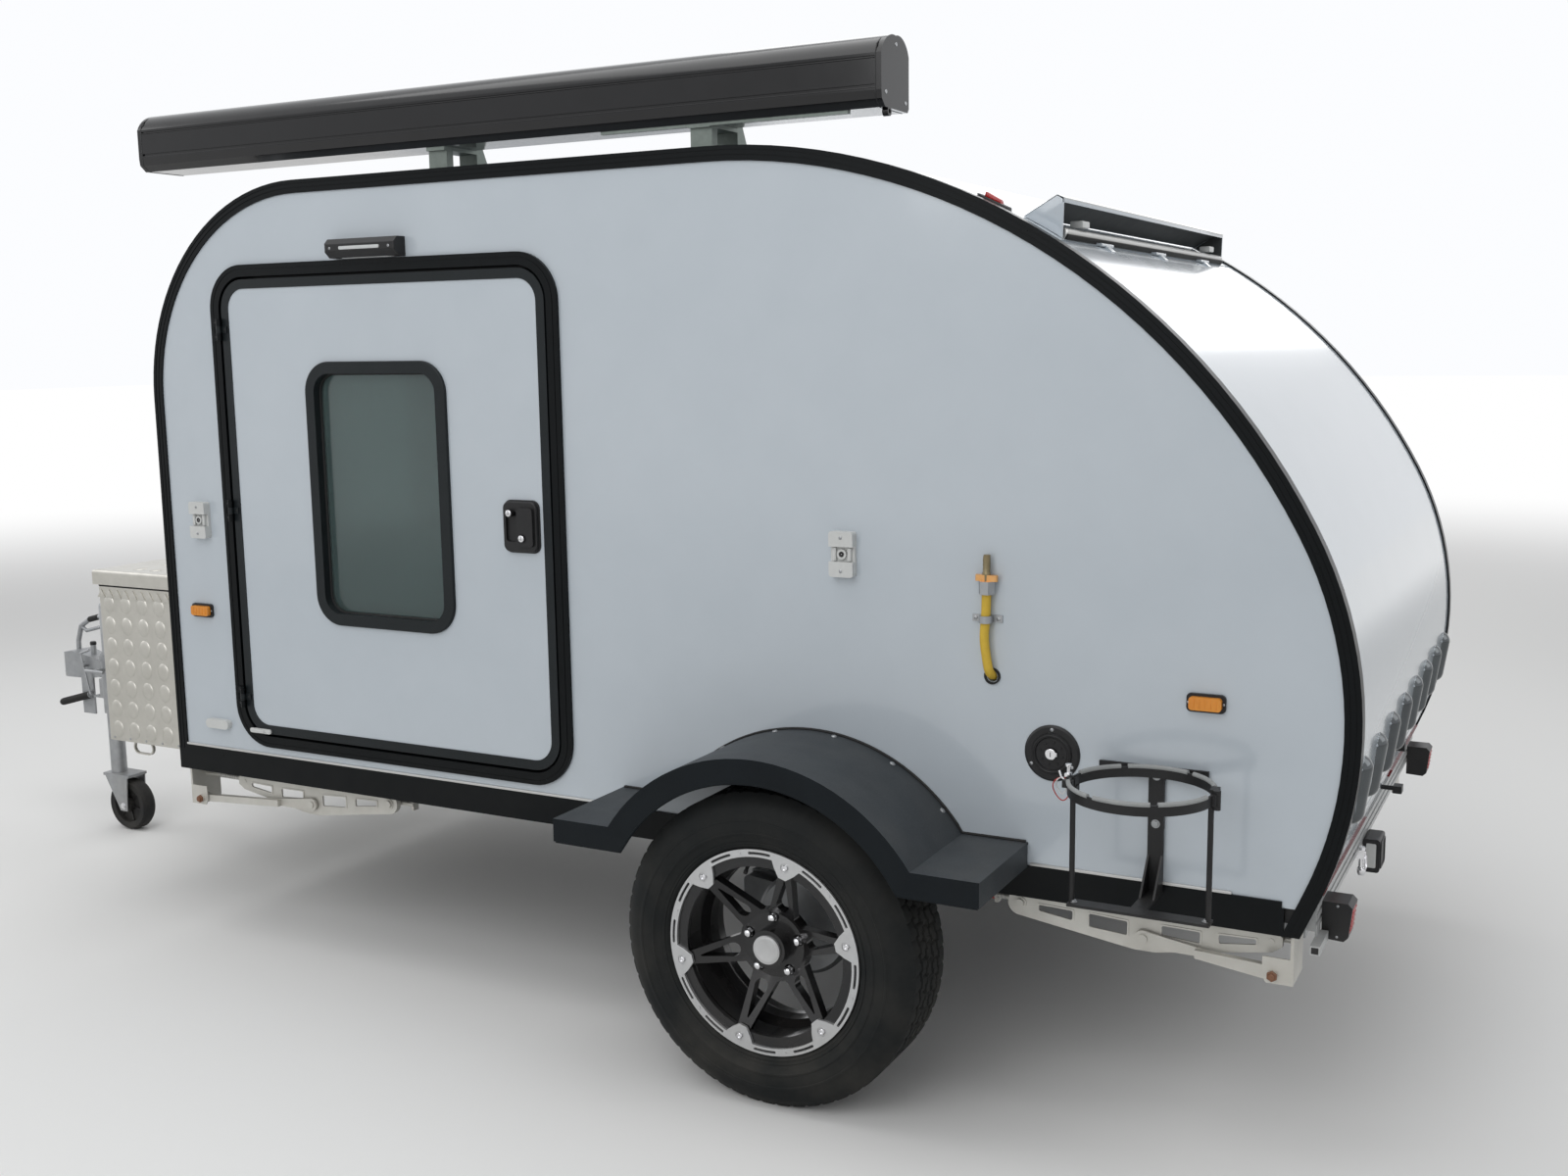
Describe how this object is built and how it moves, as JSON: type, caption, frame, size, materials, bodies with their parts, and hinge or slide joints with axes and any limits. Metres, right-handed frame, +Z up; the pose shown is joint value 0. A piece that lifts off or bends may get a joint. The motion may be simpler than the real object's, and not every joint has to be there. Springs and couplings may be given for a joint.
{
  "type": "teardrop trailer",
  "caption": "Teardrop camping trailer with hinged side doors, lifting rear hatch, front toolbox, roof awning case, jockey wheel and corner steadies.",
  "frame": {"origin": "on the ground, at the middle of the trailer's overall length and width", "axes": "+X forward to the coupling, +Y to the trailer's left, +Z up"},
  "size_m": [4.2578, 2.025, 2.0679],
  "materials": {
    "wall_panel": "gloss",
    "black_extrusion": "satin",
    "fender_grey": "matte",
    "awning_black": "gloss",
    "bracket_metal": "satin",
    "hood_metal": "satin",
    "chequer_plate": "satin",
    "galvanised": "satin",
    "rubber_black": "matte",
    "amber_lens": "gloss",
    "rail_grey": "satin",
    "red_lens": "gloss",
    "black_plastic": "satin",
    "black_steel": "satin",
    "white_plastic": "gloss",
    "yellow_hose": "satin",
    "brass": "satin",
    "plywood": "matte",
    "cabinet_board": "satin",
    "mattress_cloth": "woven",
    "tinted_glass": "gloss",
    "tyre_rubber": "matte",
    "rim_black": "gloss",
    "ring_aluminium": "machined",
    "frame_paint": "satin"
  },
  "bodies": {
    "trailer": {"chassis": "frame_paint", "axle": "frame_paint", "floor": "plywood", "mattress": "mattress_cloth", "side_wall_left": "wall_panel", "side_wall_right": "wall_panel", "roof": "wall_panel", "apron": "wall_panel", "bulkhead": "cabinet_board", "galley": "cabinet_board", "edge_trims": "black_extrusion", "door_frames": "black_extrusion", "fenders": "fender_grey", "awning_case": "awning_black", "awning_brackets": "bracket_metal", "hood": "hood_metal", "toolbox": "chequer_plate", "coupling": "galvanised", "jockey_sleeve": "galvanised", "steady_brackets": "galvanised", "marker_lamps": "amber_lens", "porch_lamps": "black_plastic", "tail_lamps": "red_lens", "tail_rails": "rail_grey", "tail_latch": "black_plastic", "gas_holder": "black_steel", "wall_brackets": "white_plastic", "water_filler": "black_plastic", "gas_hose": "yellow_hose", "hose_fittings": "brass"},
    "wheel_left": {"tyre_left": "tyre_rubber", "rim_left": "rim_black", "wheel_ring_left": "ring_aluminium"},
    "door_left": {"door_leaf_left": "wall_panel", "door_trim_left": "black_extrusion", "door_glass_left": "tinted_glass", "door_handle_left": "black_plastic"},
    "strut_front_left": {"strut_front_left": "galvanised"},
    "leg_front_left": {"leg_front_left": "galvanised"},
    "strut_rear_left": {"strut_rear_left": "galvanised"},
    "leg_rear_left": {"leg_rear_left": "galvanised"},
    "wheel_right": {"tyre_right": "tyre_rubber", "rim_right": "rim_black", "wheel_ring_right": "ring_aluminium"},
    "door_right": {"door_leaf_right": "wall_panel", "door_trim_right": "black_extrusion", "door_glass_right": "tinted_glass", "door_handle_right": "black_plastic"},
    "strut_front_right": {"strut_front_right": "galvanised"},
    "leg_front_right": {"leg_front_right": "galvanised"},
    "strut_rear_right": {"strut_rear_right": "galvanised"},
    "leg_rear_right": {"leg_rear_right": "galvanised"},
    "hatch": {"hatch_panel": "wall_panel"},
    "toolbox_lid": {"toolbox_lid": "chequer_plate"},
    "gas_gate": {"gas_gate": "black_steel"},
    "jockey_tube": {"jockey_tube": "galvanised"},
    "jockey_fork": {"jockey_fork": "galvanised"},
    "jockey_wheel": {"jockey_wheel": "rubber_black"}
  },
  "joints": [
    {"name": "wheel_spin_left", "type": "hinge", "parent": "trailer", "child": "wheel_left", "pos_m": [-1.061, 0.8875, 0.3175], "axis": [0, 1, 0], "continuous": true},
    {"name": "door_swing_left", "type": "hinge", "parent": "trailer", "child": "door_left", "pos_m": [0.515, 0.76, 1.1], "axis": [0, 0, -1], "range_deg": [0, 160]},
    {"name": "wheel_spin_right", "type": "hinge", "parent": "trailer", "child": "wheel_right", "pos_m": [-1.061, -0.8875, 0.3175], "axis": [0, 1, 0], "continuous": true},
    {"name": "door_swing_right", "type": "hinge", "parent": "trailer", "child": "door_right", "pos_m": [0.515, -0.76, 1.1], "axis": [0, 0, 1], "range_deg": [0, 160]},
    {"name": "hatch_lift", "type": "hinge", "parent": "trailer", "child": "hatch", "pos_m": [-1.5564, 0, 1.67042], "axis": [0, 1, 0], "range_deg": [0, 75]},
    {"name": "toolbox_lid_lift", "type": "hinge", "parent": "trailer", "child": "toolbox_lid", "pos_m": [0.814, 0, 0.866], "axis": [0, -1, 0], "range_deg": [0, 75]},
    {"name": "gas_gate_swing", "type": "hinge", "parent": "trailer", "child": "gas_gate", "pos_m": [-1.9075, 0.89, 0.708], "axis": [0, 0, 1], "range_deg": [0, 110]},
    {"name": "jockey_lift", "type": "slide", "parent": "trailer", "child": "jockey_tube", "axis": [0, 0, 1], "range_m": [-0.05, 0.18]},
    {"name": "jockey_swivel", "type": "hinge", "parent": "jockey_tube", "child": "jockey_fork", "pos_m": [1.679, 0.2, 0.176], "axis": [0, 0, 1], "continuous": true},
    {"name": "jockey_spin", "type": "hinge", "parent": "jockey_fork", "child": "jockey_wheel", "pos_m": [1.629, 0.2, 0.08], "axis": [0, 1, 0], "continuous": true},
    {"name": "steady_rear_left", "type": "hinge", "parent": "trailer", "child": "strut_rear_left", "pos_m": [-1.981, 0.724, 0.35], "axis": [0, 1, 0], "range_deg": [0, 47]},
    {"name": "leg_turn_rear_left", "type": "hinge", "parent": "strut_rear_left", "child": "leg_rear_left", "pos_m": [-1.739, 0.714, 0.372], "axis": [0, 1, 0], "range_deg": [-98.7, 0]},
    {"name": "steady_rear_right", "type": "hinge", "parent": "trailer", "child": "strut_rear_right", "pos_m": [-1.981, -0.724, 0.35], "axis": [0, 1, 0], "range_deg": [0, 47]},
    {"name": "leg_turn_rear_right", "type": "hinge", "parent": "strut_rear_right", "child": "leg_rear_right", "pos_m": [-1.739, -0.714, 0.372], "axis": [0, 1, 0], "range_deg": [-98.7, 0]},
    {"name": "steady_front_left", "type": "hinge", "parent": "trailer", "child": "strut_front_left", "pos_m": [0.711, 0.724, 0.35], "axis": [0, -1, 0], "range_deg": [0, 30.4]},
    {"name": "leg_turn_front_left", "type": "hinge", "parent": "strut_front_left", "child": "leg_front_left", "pos_m": [0.351, 0.714, 0.372], "axis": [0, -1, 0], "range_deg": [-81.47, 0]},
    {"name": "steady_front_right", "type": "hinge", "parent": "trailer", "child": "strut_front_right", "pos_m": [0.711, -0.724, 0.35], "axis": [0, -1, 0], "range_deg": [0, 30.4]},
    {"name": "leg_turn_front_right", "type": "hinge", "parent": "strut_front_right", "child": "leg_front_right", "pos_m": [0.351, -0.714, 0.372], "axis": [0, -1, 0], "range_deg": [-81.47, 0]}
  ],
  "couplings": [
    {"joint": "leg_turn_rear_left", "follows": "steady_rear_left", "ratio": -2.1},
    {"joint": "leg_turn_rear_right", "follows": "steady_rear_right", "ratio": -2.1},
    {"joint": "leg_turn_front_left", "follows": "steady_front_left", "ratio": -2.68},
    {"joint": "leg_turn_front_right", "follows": "steady_front_right", "ratio": -2.68}
  ]
}
